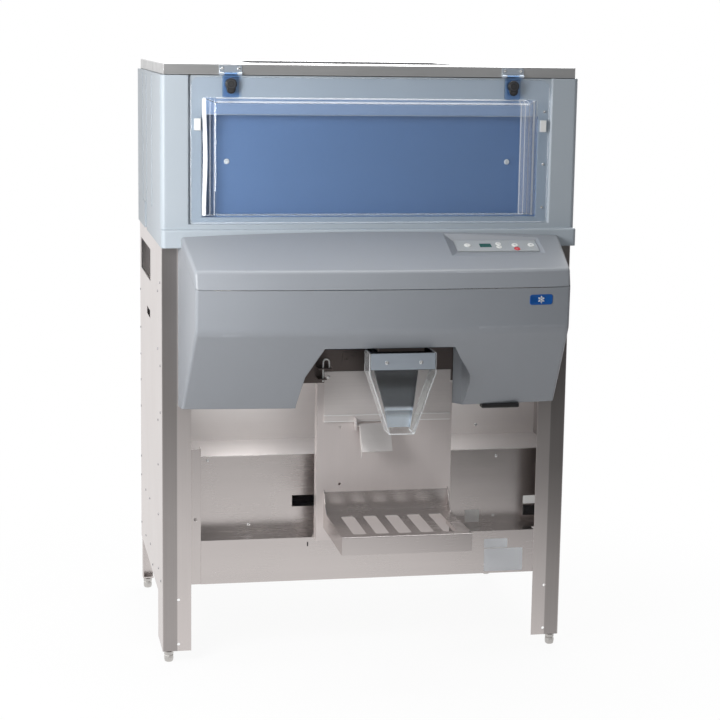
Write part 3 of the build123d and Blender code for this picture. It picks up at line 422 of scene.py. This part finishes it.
NODE_FINISH = {
    "shell": ["bin_shell"],
    "hood": ["top_cover", "front_cover"],
    "liner": ["bin_liner"],
    "foam": ["bin_insulation"],
    "lid": ["top_lid"],
    "steel_x": ["shield_rail", "apron", "base_pan", "lower_front_panel", "shelf"],
    "steel_z": ["rear_leg_left", "rear_leg_right", "post", "rear_panel"],
    "inner_x": ["deck", "splash_panel", "container_paddle"],
    "inner_z": ["lower_back_plate"],
    "hemmed": ["upper_back_plate"],
    "slide": ["chute"],
    "shaded": ["hood_beam", "hook_bracket"],
    "silver_x": ["hinge_bracket_left", "hinge_bracket_right", "chute_clamp_plate", "auger", "agitator"],
    "leg": ["side_panel_left", "side_panel_right"],
    "screw": ["bracket_screws", "door_studs", "door_screws", "panel_rivets", "chute_screws"],
    "wire": ["hook_pin"],
    "foot": ["levelling_feet"],
    "clear": ["door_panel"],
    "guard": ["chute_shield"],
    "tint": ["door_strap_left", "door_strap_right"],
    "shield": ["ice_shield"],
    "black": ["door_knob_left", "door_knob_right", "cover_grip", "switch_bezel", "mains_rocker"],
    "white": ["door_bumpers", "shield_screws"],
    "keypad": ["keypad_plate"],
    "display": ["display_window"],
    "key": ["power_key", "up_key", "down_key", "start_key", "light_key"],
    "stop": ["stop_key"],
    "board": ["control_board"],
    "motor": ["agitator_motor", "auger_motor"],
}


def dress_nodes():
    """Gives every CAD node its finish."""
    for finish, names in NODE_FINISH.items():
        for name in names:
            mesh = nodes[name].data
            mesh.materials.clear()
            mesh.materials.append(finishes[finish])


def add_piece(name, shape, finish, body="cabinet", smooth=True):
    """Makes a mesh object at the origin from (points, faces), and lets it ride on a body."""
    points, faces = shape
    mesh = bpy.data.meshes.new(name)
    mesh.from_pydata(points.tolist(), [], faces)
    if smooth:
        mesh.shade_smooth()
    mesh.materials.append(finishes[finish])
    piece = bpy.data.objects.new(name, mesh)
    bpy.context.scene.collection.objects.link(piece)
    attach(piece, body)
    return piece


def joined(parts):
    """Puts several (points, faces) shapes into one."""
    points = []
    faces = []
    count = 0
    for part_points, part_faces in parts:
        points.append(part_points)
        faces += [tuple(i + count for i in face) for face in part_faces]
        count += len(part_points)
    return np.concatenate(points), faces


def front_of(name):
    """The front of a CAD node's box, along Y."""
    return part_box(name)[0].y


def axes_of(normal):
    """Two unit vectors square to a normal, and the unit normal. The first is as near to X as can be, or to
    Y where the normal runs along X."""
    n = np.array(normal, float) / np.linalg.norm(normal)
    u = np.array((1.0, 0.0, 0.0) if abs(n[0]) < 0.9 else (0.0, 1.0, 0.0))
    u = u - n * (u @ n)
    u = u / np.linalg.norm(u)
    return u, np.cross(n, u), n


def stacked(rings):
    """Closed shape from an array of rings (ring, point, xyz): quads between rings, fans at both ends."""
    count, around, _ = rings.shape
    points = np.concatenate([rings.reshape(-1, 3), rings[0].mean(0)[None], rings[-1].mean(0)[None]])
    i = np.arange(around)
    j = (i + 1) % around
    faces = []
    for k in range(count - 1):
        low = k * around
        faces += np.stack([low + i, low + j, low + around + j, low + around + i], 1).tolist()
    last = (count - 1) * around
    faces += np.stack([j, i, np.full(around, count * around)], 1).tolist()
    faces += np.stack([last + i, last + j, np.full(around, count * around + 1)], 1).tolist()
    return points, faces


def turned(profile, centre, normal, steps=28):
    """Turned shape: each (radius, height) of the profile becomes a circle round the normal."""
    u, v, n = axes_of(normal)
    angle = np.linspace(0, 2 * math.pi, steps, endpoint=False)
    circle = np.cos(angle)[:, None] * u + np.sin(angle)[:, None] * v
    profile = np.array(profile, float) * MM
    rings = profile[:, 0, None, None] * circle[None] + profile[:, 1, None, None] * n
    return stacked(rings + np.array(centre, float))


def round_rect(width, height, radius):
    """Outline of a rounded rectangle: each corner is a quarter circle about its own centre."""
    quarter = np.linspace(0, math.pi / 2, 6)
    corners = []
    for k, (sx, sy) in enumerate([(1, 1), (-1, 1), (-1, -1), (1, -1)]):
        angle = quarter + k * math.pi / 2
        centre = np.array([sx * (width / 2 - radius), sy * (height / 2 - radius)])
        corners.append(centre + radius * np.stack([np.cos(angle), np.sin(angle)], 1))
    return np.concatenate(corners)


def flat_plate(width, height, radius, profile, centre, normal=FRONT):
    """Plate whose rounded outline shrinks by each (inset, height) of the profile, from back to front."""
    u, v, n = axes_of(normal)
    rings = []
    for inset, rise in np.array(profile, float) * MM:
        outline = round_rect(width - 2 * inset, height - 2 * inset, max(radius - inset, 0.2 * MM))
        rings.append(outline[:, :1] * u + outline[:, 1:] * v + rise * n)
    return stacked(np.array(rings) + np.array(centre, float))


def driven_head(centre, radius, rise, recess, turn):
    """Domed screw head that faces the front: its height falls with the square of the distance from its
    middle, less a cross-shaped recess, which is turned by an angle and as deep as a share of the rise."""
    dome, arm_half, arm_reach = 0.45, 0.16, 0.58
    u, v, n = axes_of(FRONT)
    angle = np.linspace(0, 2 * math.pi, 48, endpoint=False)
    r, a = np.meshgrid(np.linspace(0.02, 1.0, 16), angle, indexing="ij")
    x = r * np.cos(a)
    y = r * np.sin(a)
    cx = np.abs(x * math.cos(turn) + y * math.sin(turn))
    cy = np.abs(y * math.cos(turn) - x * math.sin(turn))
    cut = np.clip((arm_half - np.minimum(cx, cy)) / 0.05, 0, 1)
    cut = cut * np.clip((arm_reach - np.maximum(cx, cy)) / 0.08, 0, 1)
    z = rise * (1 - dome * r ** 2) - recess * rise * cut
    top = radius * x[..., None] * u + radius * y[..., None] * v + z[..., None] * n
    skirt = radius * np.cos(angle)[:, None] * u + radius * np.sin(angle)[:, None] * v
    rings = np.concatenate([skirt[None], top[::-1]])
    return stacked(rings + np.array(centre, float))


def bar(start, end, width, rise, normal):
    """Raised bar: a low half-round section carried from one point to another, half as large at both ends,
    which are closed."""
    start = np.array(start, float)
    way = np.array(end, float) - start
    n = np.array(normal, float) / np.linalg.norm(normal)
    side = np.cross(n, way / np.linalg.norm(way))
    angle = np.linspace(math.pi, 0, 9)
    section = width / 2 * np.cos(angle)[:, None] * side + rise * np.sin(angle)[:, None] * n
    share = np.array([0.0, 0.02, 0.98, 1.0])
    size = np.array([0.5, 1.0, 1.0, 0.5])
    rings = size[:, None, None] * section[None] + share[:, None, None] * way
    return stacked(rings + start)


def formed_door():
    """Clear formed door. Its front is a height field: the flange, plus a rise that is the soft minimum of
    the ramps up both sides, the sill and the header of the window. The sheet's thickness goes behind it."""
    low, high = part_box("door_panel")
    sheet = 3.5 * MM
    base_half, face_half = 497 * MM, 462 * MM
    base_low, face_low = 1350 * MM, 1354 * MM
    face_high, base_high = 1676 * MM, 1690 * MM
    upper_corner, lower_corner = 28 * MM, 16 * MM
    soft = 1.6 * MM
    blend = 0.05

    def ramp(distance, run):
        """Distance limited to 0 and the run, rounded at both limits, as a share of the run."""
        return (np.hypot(distance, soft) - np.hypot(distance - run, soft) + run) / 2 / run

    half = np.concatenate([
        np.linspace(0, face_half - 6 * MM, 20),
        np.linspace(face_half - 5 * MM, base_half + 5 * MM, 32),
        np.linspace(base_half + 7 * MM, high.x, 14)])
    up = np.concatenate([
        np.linspace(low.z, base_low - 5 * MM, 10),
        np.linspace(base_low - 4 * MM, face_low + 5 * MM, 18),
        np.linspace(face_low + 8 * MM, face_high - 6 * MM, 14),
        np.linspace(face_high - 5 * MM, base_high + 5 * MM, 26),
        np.linspace(base_high + 7 * MM, high.z, 16)])
    x, z = np.meshgrid(np.concatenate([-half[:0:-1], half]), up)
    corner = np.where(z > face_low, upper_corner, lower_corner)
    edge = np.clip(np.minimum(z - low.z, high.z - z), 0, corner)
    pull = corner - np.sqrt(np.maximum(corner ** 2 - (corner - edge) ** 2, 0))
    x = x * (high.x - pull) / high.x
    ramps = [ramp(base_half - np.abs(x), base_half - face_half),
             ramp(z - base_low, face_low - base_low),
             ramp(base_high - z, base_high - face_high)]
    share = -blend * np.log(sum(np.exp(-r / blend) for r in ramps))
    y = low.y + DOOR_RISE - DOOR_RISE * np.clip(share, 0, 1)
    points = np.stack([x, y, z], -1).reshape(-1, 3)
    k = np.arange(x.size).reshape(x.shape)
    faces = np.stack([k[:-1, :-1], k[:-1, 1:], k[1:, 1:], k[1:, :-1]], -1).reshape(-1, 4).tolist()
    door = add_piece("formed_door", (points, faces), "clear", "door")
    wall = door.modifiers.new("wall", "SOLIDIFY")
    wall.thickness = sheet
    wall.offset = -1.0
    wall.use_even_offset = True
    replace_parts(door, "door_panel")


def screw_sets():
    """Cross-recess screw heads in place of the plain ones. A set has its body, finish and place along Y, its
    radius and rise in millimetres, the depth of its recess, and (x, z, turn of the recess) of each head."""
    sets = {
        "bracket_screws": ("cabinet", "screw", front_of("top_lid") - 2.5 * MM, 4.2, 1.8, 0.55, [
            (-0.442, 1.773, 0.0), (-0.394, 1.773, 0.5), (0.394, 1.773, 1.0), (0.442, 1.773, 1.5)]),
        "chute_screws": ("cabinet", "screw", front_of("chute_clamp_plate"), 5.5, 2.2, 0.6, [
            (0.002, 0.952, 0.402), (0.102, 0.952, 0.502)]),
        "door_screws": ("door", "screw", front_of("door_panel") + DOOR_RISE, 4.0, 2.0, 0.6, [
            (0.518, 1.372, 4.116), (0.518, 1.500, 4.5), (0.518, 1.655, 4.965)]),
        "shield_screws": ("cabinet", "white", front_of("ice_shield"), 8.0, 4.0, 0.5, [
            (-0.422, 1.503, -0.422), (0.422, 1.503, 0.422)]),
    }
    for node, (body, finish, y, radius, rise, recess, places) in sets.items():
        heads = [driven_head((x, y, z), radius * MM, rise * MM, recess, turn) for x, z, turn in places]
        piece = add_piece(node.replace("screws", "screw_heads"), joined(heads), finish, body)
        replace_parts(piece, node)


def snow_crystal(centre, u, v, n):
    """Six-armed snow crystal of raised bars, with two pairs of branches on each arm."""
    size, width, rise = 11 * MM, 1.6 * MM, 0.6 * MM
    parts = []
    for k in range(6):
        angle = math.radians(30 + 60 * k)
        way = math.cos(angle) * u + math.sin(angle) * v
        parts.append(bar(centre, centre + way * size, width, rise, n))
        for share, reach in ((0.45, 0.30), (0.70, 0.24)):
            for side in (-1, 1):
                turn = angle + side * math.radians(60)
                branch = math.cos(turn) * u + math.sin(turn) * v
                root = centre + way * size * share
                parts.append(bar(root, root + branch * size * reach, width * 0.8, rise, n))
    return joined(parts)


def badge():
    """Blue badge with a snow crystal, on the right of the lower hood moulding. The moulding's front lies
    behind its seam by the square of X over twice the bow's radius, and by a lean for each metre below it."""
    bow, seam_z, lean = 5.042, 1.164, 5.0 / 123.0
    x, z = 0.4535, 1.1285
    y = front_of("front_cover") + x * x / (2 * bow) + 0.1 * MM + (seam_z - z) * lean
    centre = np.array([x, y, z])
    u, v, n = axes_of((0.09, -1.0, -0.04))
    profile = [(0, -1.5), (0, 0.8), (0.8, 1.4), (1.6, 1.5), (2.4, 1.2)]
    add_piece("badge_plate", flat_plate(70 * MM, 30 * MM, 7 * MM, profile, centre, n), "badge")
    add_piece("badge_crystal", snow_crystal(centre + n * 1.1 * MM, u, v, n), "white")


def plates():
    """Bare plates and blank labels on the apron and the lower panels, each from x0 to x1 and z0 to z1."""
    apron_y = front_of("apron")
    panel_y = front_of("lower_front_panel")
    places = {
        "rating_plate_upper": (0.372, 0.446, 0.321, 0.350, apron_y, "plate"),
        "rating_plate_lower": (0.373, 0.495, 0.247, 0.319, apron_y, "plate"),
        "blank_label_panel": (0.334, 0.380, 0.378, 0.418, panel_y, "label"),
        "blank_label_switch": (0.520, 0.566, 0.432, 0.458, panel_y, "label"),
    }
    thin = [(0, -0.2), (0, 0.3), (0.3, 0.5)]
    for name, (x0, x1, z0, z1, y, finish) in places.items():
        plate = flat_plate(x1 - x0, z1 - z0, 2 * MM, thin, ((x0 + x1) / 2, y, (z0 + z1) / 2))
        add_piece(name, plate, finish, smooth=False)


def opening_header_shade():
    """Blue strip on the shell over the opening, seen through the top of the window: painted shade under the
    door's top, tinted blue like the liner.
    """
    profile = [(0, -0.5), (0, 0.8), (0.6, 1.2)]
    strip = flat_plate(984 * MM, 45 * MM, 3 * MM, profile, (0.0, -0.421 + SHIFT, 1.6645))
    add_piece("opening_header_shade", strip, "header", smooth=False)


def outlet_cuff():
    """Folded steel cuff round the mouth of the throat: a band carried round a rounded rectangle."""
    wall = 1.2 * MM
    width, depth, radius = 134 * MM + 2 * wall, 87 * MM + 2 * wall, 2 * MM
    bottom, top = 0.979, 0.9885
    centre = np.array([0.050, -0.6005 + SHIFT])
    outer = round_rect(width, depth, radius) + centre
    inner = round_rect(width - 2 * wall, depth - 2 * wall, radius - wall) + centre
    loops = [(outer, bottom), (outer, top), (inner, top), (inner, bottom)]
    rings = np.array([np.column_stack([loop, np.full(len(loop), z)]) for loop, z in loops])
    around = rings.shape[1]
    low = np.arange(4 * around).reshape(4, around)
    high = np.roll(low, -1, 0)
    faces = np.stack([low, np.roll(low, -1, 1), np.roll(high, -1, 1), high], -1).reshape(-1, 4).tolist()
    add_piece("outlet_cuff", (rings.reshape(-1, 3), faces), "shaded", smooth=False)


def knob_relief():
    """Raised rings on the faces of the two thumb knobs, and two bars across the lobe under each, in a lighter
    grey that stands for painted highlights.
    """
    rings = [(12.0, -0.8), (12.4, -0.4), (11.6, 0.25), (10.4, 0.25), (9.6, -0.3), (4.6, -0.3), (4.0, 0.2),
             (3.0, 0.2), (2.4, -0.3), (0.2, -0.4)]
    hub_drop = 16.5 * MM
    bar_half = 7 * MM
    for side in ("left", "right"):
        low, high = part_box("door_knob_" + side)
        x = (low.x + high.x) / 2
        hub = high.z - hub_drop
        parts = [turned(rings, (x, low.y, hub), FRONT)]
        for drop in (17.5 * MM, 21.0 * MM):
            ends = [(x + reach, low.y, hub - drop) for reach in (-bar_half, bar_half)]
            parts.append(bar(*ends, 1.2 * MM, 0.28 * MM, FRONT))
        add_piece("knob_relief_" + side, joined(parts), "ring_highlight_grey", side + "_knob")


def small_bolts():
    """Small screws on the lower panels, the beam and the upper back plate, and a dark plug in the apron's
    slot. The turn of each recess is three times its X, so that no two are alike."""
    panel_y = front_of("lower_front_panel")
    splash_y = front_of("splash_panel")
    beam_y = -0.452 + SHIFT
    plate_y = beam_y - 3 * MM
    places = [(0.430, panel_y, 0.588), (0.425, panel_y, 0.398), (-0.345, panel_y, 0.395),
              (-0.470, panel_y, 0.598), (-0.502, panel_y, 0.598), (0.420, splash_y, 0.640),
              (0.158, beam_y, 0.934), (-0.128, plate_y, 0.874)]
    heads = [driven_head(place, 4.5 * MM, 2.2 * MM, 0.5, 3 * place[0]) for place in places]
    add_piece("panel_screws", joined(heads), "screw")
    plug = flat_plate(3.6 * MM, 13.6 * MM, 1 * MM, [(0, -1.8), (0, -0.6), (0.4, -0.4)],
                      (-0.178, front_of("apron"), 0.354))
    add_piece("slot_plug", plug, "black")


def rivets():
    """Domed rivets with a flat washer face on both side panels. Each column is a place along Y, heights,
    and how far a second sheet stands proud there, in millimetres."""
    columns = [(-0.275, (1.112, 0.938, 0.720, 0.583, 0.428, 0.258), 1),
               (-0.355, (1.147, 0.899, 0.758, 0.240), 1),
               (0.400, (1.028, 0.900, 0.810, 0.722, 0.632, 0.460, 0.395, 0.230), 0),
               (0.220, (0.385, 0.230), 0), (0.060, (0.395,), 0), (0.037, (0.250,), 0), (-0.049, (0.206,), 0)]
    dome = [(4.0, -0.2), (4.2, 0.2), (4.0, 0.7), (3.2, 1.3), (2.0, 1.7), (0.8, 1.85)]
    panel_half = 0.615
    parts = []
    for side in (-1, 1):
        for y, heights, proud in columns:
            x = side * (panel_half + proud * MM)
            parts += [turned(dome, (x, y + SHIFT, z), (side, 0, 0), 16) for z in heights]
    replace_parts(add_piece("rivet_heads", joined(parts), "rivet"), "panel_rivets")


def feet():
    """Bullet feet: a tapered tip, a hexagon collar and a threaded neck."""
    tip = [(7, 0), (10.5, 0.6), (12.5, 3), (13.6, 8), (14, 14), (13.4, 20), (11.5, 22)]
    collar = [(13.0, 21.5), (14.0, 22.5), (14.0, 31), (13.0, 32)]
    neck = [(6.0, 30), (6.0, 36.5)]
    radius = 14 * MM
    parts = []
    low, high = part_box("levelling_feet")
    for x in (low.x + radius, high.x - radius):
        for y in (low.y + radius, high.y - radius):
            for profile, steps in ((tip, 32), (collar, 6), (neck, 24)):
                parts.append(turned(profile, (x, y, 0.0), (0, 0, 1), steps))
    piece = add_piece("bullet_feet", joined(parts), "foot", smooth=False)
    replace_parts(piece, "levelling_feet")


def key_marks():
    """Plain marks on the keys: a power stroke, an arrow up and one down, a start cross, a stop bar and two
    crossed strokes for the lamp. Each is a list of strokes between two points, in millimetres."""
    marks = {
        "power": [((0, -1), (0, 5))],
        "up": [((-4, -2), (0, 3)), ((0, 3), (4, -2))],
        "down": [((-4, 2), (0, -3)), ((0, -3), (4, 2))],
        "start": [((-4, 0), (4, 0)), ((0, -4), (0, 4))],
        "stop": [((-3.5, 0), (3.5, 0))],
        "light": [((-3, -3), (3, 3)), ((-3, 3), (3, -3))],
    }
    u, v, n = axes_of(KEYPAD_NORMAL)
    cap_rise = 1.7 * MM
    for key, strokes in marks.items():
        top = np.mean(np.array(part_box(key + "_key")), 0) + n * cap_rise
        parts = []
        for stroke in strokes:
            start, end = (top + (a * u + b * v) * MM for a, b in stroke)
            parts.append(bar(start, end, 1.1 * MM, 0.35 * MM, n))
        finish, slot = ("white", "white_plastic") if key == "stop" else ("mark", "keypad_grey")
        add_piece(key + "_mark", joined(parts), finish, key + "_button")


def lamp(name, at, target, size, power):
    """Square soft lamp at a point, turned so that its -Z points at a target."""
    data = bpy.data.lights.new(name, "AREA")
    data.shape = "SQUARE"
    data.size = size
    data.energy = power
    light = bpy.data.objects.new(name, data)
    turn = (Vector(target) - Vector(at)).to_track_quat("-Z", "Y").to_matrix().to_4x4()
    light.matrix_world = Matrix.Translation(at) @ turn
    bpy.context.scene.collection.objects.link(light)


def floor_paper():
    """Pale paper that the camera sees as white away from the object's shadow, and metal as a bright area
    near the object that grows darker to the front and to the right."""
    f = Finish("floor_paper")
    x, y = f.along("X"), f.along("Y")
    colour = f.mix(f.noise(30.0, 2.0), (0.86, 0.86, 0.86, 1.0), (0.88, 0.88, 0.88, 1.0))
    paper = f.node("ShaderNodeBsdfDiffuse", sockets={"Color": colour})
    white = f.light("ShaderNodeEmission", (1.0, 1.0, 1.0, 1.0), 1.0)
    away = f.node("ShaderNodeVectorMath", {"operation": "LENGTH"}, {0: f.place()}, "Value")
    direct = f.either(f.ray("Is Camera Ray") * f.ramp(away, 0.8, 2.0, 0.94, 1.0), paper, white)
    level = f.ramp(y, -4.6, -1.4, 0.34, 0.98) * f.ramp(x, 0.1, 1.4, 1.0, 0.45)
    level = level * (1.0 - f.ramp(x, 0.3, 1.0) * f.ramp(y, -2.3, -1.5, 0.7, 0.0))
    behind = f.ramp(y, 0.2, 1.0)
    level = level * (1.0 - behind) + behind
    mirrored = f.light("ShaderNodeEmission", (1.0, 0.985, 0.98, 1.0), level)
    both = f.either(f.ray("Is Glossy Ray"), direct, mirrored)
    f.node("ShaderNodeOutputMaterial", sockets={"Surface": both})
    return f.owner


def surroundings():
    """World: white for the camera and behind, soft light for plain surfaces, and for metal a pale room that
    is darker in front and on the right. Light scattered behind a clear sheet meets the soft light too."""
    world = bpy.data.worlds.new("surroundings")
    bpy.context.scene.world = world
    f = Finish("surroundings", world)
    way = f.node("ShaderNodeTexCoord", output="Generated")
    across = f.along("X", way)
    soft = f.ramp(across, -0.9, 0.5, 0.42, 0.08) * f.ramp(across, -0.97, -0.6, 0.15, 1.0)
    room = (f.ramp(f.along("Y", way), -0.5, 0.1, 0.26, 1.0) + f.ramp(across, -0.9, 0.0, 0.45, 0.0)
            + f.ramp(f.along("Z", way), 0.25, 0.8, 0.0, 0.4))
    ambient = f.light("ShaderNodeBackground", (0.98, 0.99, 1.0, 1.0), soft)
    reflected = f.light("ShaderNodeBackground", (1.0, 1.0, 1.0, 1.0), room)
    backdrop = f.light("ShaderNodeBackground", (1.0, 1.0, 1.0, 1.0), 1.0)
    lit = f.either(f.ray("Is Glossy Ray"), ambient, reflected)
    seen_through = f.ray("Is Transmission Ray") * f.ramp(f.ray("Diffuse Depth"), 0.0, 1.0, 1.0, 0.0)
    plain = f.maths("MAXIMUM", f.ray("Is Camera Ray"), seen_through)
    f.node("ShaderNodeOutputWorld", sockets={"Surface": f.either(plain, lit, backdrop)})


def studio():
    """Pale floor, surroundings and soft lamps, with the main one in front on the left. A lamp is a place, a
    target, a size in metres and a power in watts."""
    size = 40.0
    corners = [(-size, -size, 0), (size, -size, 0), (size, size, 0), (-size, size, 0)]
    mesh = bpy.data.meshes.new("floor")
    mesh.from_pydata(corners, [], [(0, 1, 2, 3)])
    floor = bpy.data.objects.new("floor", mesh)
    bpy.context.scene.collection.objects.link(floor)
    mesh.materials.append(floor_paper())
    surroundings()
    lamps = {
        "main_light": ((-1.65, -1.5, 1.7), (-0.3, -0.1, 1.1), 0.9, 45.0),
        "bay_light": ((-0.34, -0.15, 0.90), (-0.36, 0.02, 0.70), 0.22, 1.0),
        "right_bay_light": ((0.32, -0.15, 0.90), (0.30, 0.02, 0.72), 0.20, 0.7),
        "side_light": ((3.6, -3.8, 2.4), (0.0, 0.0, 1.1), 2.6, 4.0),
        "top_light": ((0.2, 0.2, 4.6), (0.0, -0.1, 1.1), 3.0, 105.0),
        "back_light": ((1.5, 4.5, 3.0), (0.0, 0.0, 1.1), 3.0, 110.0),
    }
    for name, (at, target, width, power) in lamps.items():
        lamp(name, at, target, width, power)


def photo_camera():
    """Camera with the fitted place, lens and turn of the photograph's frame."""
    cy, sy = math.cos(CAMERA_YAW), math.sin(CAMERA_YAW)
    cp, sp = math.cos(CAMERA_PITCH), math.sin(CAMERA_PITCH)
    cr, sr = math.cos(CAMERA_ROLL), math.sin(CAMERA_ROLL)
    forward = Vector((sy * cp, cy * cp, -sp))
    right = Vector((cy, -sy, 0.0))
    up = right.cross(forward)
    turned_right = right * cr + up * sr
    turned_up = up * cr - right * sr
    matrix = Matrix((turned_right, turned_up, -forward)).transposed().to_4x4()
    data = bpy.data.cameras.new("camera")
    data.lens = CAMERA_LENS
    data.sensor_width = SENSOR
    data.clip_end = 200.0
    camera = bpy.data.objects.new("camera", data)
    camera.matrix_world = Matrix.Translation(CAMERA_AT) @ matrix
    bpy.context.scene.collection.objects.link(camera)
    bpy.context.scene.camera = camera
    bpy.context.scene.view_settings.view_transform = "Standard"


finishes = make_finishes()
dress_nodes()
formed_door()
screw_sets()
rivets()
feet()
badge()
plates()
key_marks()
opening_header_shade()
outlet_cuff()
knob_relief()
small_bolts()
studio()
photo_camera()
